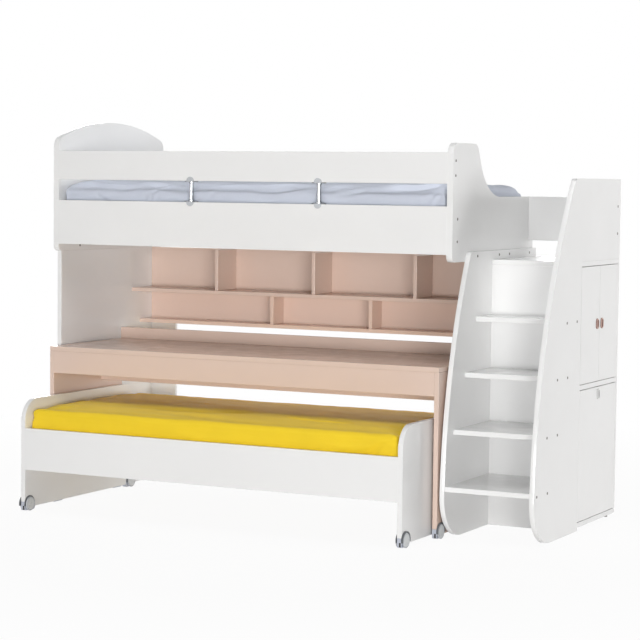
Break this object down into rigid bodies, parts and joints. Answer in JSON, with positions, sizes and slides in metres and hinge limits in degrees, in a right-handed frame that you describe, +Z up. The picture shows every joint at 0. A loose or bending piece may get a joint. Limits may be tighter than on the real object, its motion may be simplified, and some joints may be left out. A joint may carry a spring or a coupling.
{
  "type": "kids bed",
  "caption": "Raised child's bed with arched headboard, step cabinet, shelf, and a desk and spare bed that roll out on casters from below it.",
  "frame": {"origin": "on the floor, under the middle of the whole object's box in the pictured pose", "axes": "+X from the headboard to the step cabinet, +Y from the front to the rear (wall) side, +Z up"},
  "size_m": [2.5062, 1.32, 1.8119],
  "materials": {
    "white_board": "white melamine-faced board, satin",
    "pink_board": "pale pink melamine-faced board, satin",
    "slat_wood": "plain sanded softwood",
    "blue_sheet": "woven cotton sheet, pale blue-grey",
    "yellow_sheet": "woven cotton sheet, yellow",
    "bright_steel": "satin nickel-plated",
    "zinc_steel": "zinc-plated sheet",
    "grey_plastic": "moulded, blue-grey",
    "pale_wheel": "moulded, pale grey",
    "pink_pull": "moulded, dusky pink",
    "white_pull": "moulded, white",
    "dark_cap": "moulded, dark"
  },
  "bodies": {
    "bed_frame": {"headboard": "white_board", "footboard": "white_board", "front_side_rail": "white_board", "rear_side_rail": "white_board", "front_guard_rail": "white_board", "guard_brackets": "bright_steel", "bed_slat_ledgers": "slat_wood", "bed_slats": "slat_wood", "bed_mattress": "blue_sheet", "leg_panel": "white_board", "rear_stiffener": "white_board", "shelf_back_panel": "pink_board", "shelf_lower_board": "pink_board", "shelf_middle_board": "pink_board", "shelf_dividers": "pink_board", "step_left_panel": "white_board", "step_right_panel": "white_board", "step_riser_board": "white_board", "landing_board": "white_board", "landing_guard_board": "white_board", "cupboard_middle_board": "white_board", "cupboard_bottom_board": "white_board", "cupboard_rear_board": "white_board", "tread_1": "white_board", "tread_2": "white_board", "tread_3": "white_board", "tread_4": "white_board", "floor_glides": "dark_cap", "door_hinge_arms": "zinc_steel", "drawer_cabinet_runners": "zinc_steel", "bolt_cover_caps": "dark_cap"},
    "desk": {"desk_top": "pink_board", "desk_left_panel": "pink_board", "desk_right_panel": "pink_board", "desk_apron": "pink_board", "desk_upstand": "pink_board", "desk_rear_rail": "pink_board", "desk_caster_housings": "grey_plastic"},
    "desk_front_axle": {"desk_front_wheels": "pale_wheel"},
    "desk_rear_axle": {"desk_rear_wheels": "pale_wheel"},
    "spare_bed": {"spare_left_panel": "white_board", "spare_right_panel": "white_board", "spare_front_rail": "white_board", "spare_rear_rail": "white_board", "spare_slat_ledgers": "slat_wood", "spare_slats": "slat_wood", "spare_mattress": "yellow_sheet", "spare_caster_housings": "grey_plastic"},
    "spare_front_axle": {"spare_front_wheels": "pale_wheel"},
    "spare_rear_axle": {"spare_rear_wheels": "pale_wheel"},
    "front_door": {"front_door": "white_board", "front_door_pull": "pink_pull", "front_door_hinge_cups": "zinc_steel"},
    "rear_door": {"rear_door": "white_board", "rear_door_pull": "pink_pull", "rear_door_hinge_cups": "zinc_steel"},
    "drawer": {"drawer_front": "white_board", "drawer_box": "white_board", "drawer_pull": "white_pull", "drawer_runners": "zinc_steel"}
  },
  "joints": [
    {"name": "desk_slide", "type": "slide", "parent": "bed_frame", "child": "desk", "axis": [0, -1, 0], "range_m": [-0.085, 0.45]},
    {"name": "spare_bed_slide", "type": "slide", "parent": "bed_frame", "child": "spare_bed", "axis": [0, -1, 0], "range_m": [-0.262, 0.5]},
    {"name": "desk_front_wheel_spin", "type": "hinge", "parent": "desk", "child": "desk_front_axle", "pos_m": [-0.2049, -0.341, 0.032], "axis": [1, 0, 0], "continuous": true},
    {"name": "desk_rear_wheel_spin", "type": "hinge", "parent": "desk", "child": "desk_rear_axle", "pos_m": [-0.2049, 0.187, 0.032], "axis": [1, 0, 0], "continuous": true},
    {"name": "spare_front_wheel_spin", "type": "hinge", "parent": "spare_bed", "child": "spare_front_axle", "pos_m": [-0.2049, -0.623, 0.032], "axis": [1, 0, 0], "continuous": true},
    {"name": "spare_rear_wheel_spin", "type": "hinge", "parent": "spare_bed", "child": "spare_rear_axle", "pos_m": [-0.2049, 0.249, 0.032], "axis": [1, 0, 0], "continuous": true},
    {"name": "front_door_hinge", "type": "hinge", "parent": "bed_frame", "child": "front_door", "pos_m": [1.2481, 0.1505, 0.9115], "axis": [0, 0, -1], "range_deg": [0, 95]},
    {"name": "rear_door_hinge", "type": "hinge", "parent": "bed_frame", "child": "rear_door", "pos_m": [1.2481, 0.6305, 0.9115], "axis": [0, 0, 1], "range_deg": [0, 95]},
    {"name": "drawer_slide", "type": "slide", "parent": "bed_frame", "child": "drawer", "axis": [1, 0, 0], "range_m": [0, 0.3]}
  ],
  "couplings": [
    {"joint": "desk_front_wheel_spin", "follows": "desk_slide", "rad_per_m": 31.25},
    {"joint": "desk_rear_wheel_spin", "follows": "desk_slide", "rad_per_m": 31.25},
    {"joint": "spare_front_wheel_spin", "follows": "spare_bed_slide", "rad_per_m": 31.25},
    {"joint": "spare_rear_wheel_spin", "follows": "spare_bed_slide", "rad_per_m": 31.25}
  ]
}
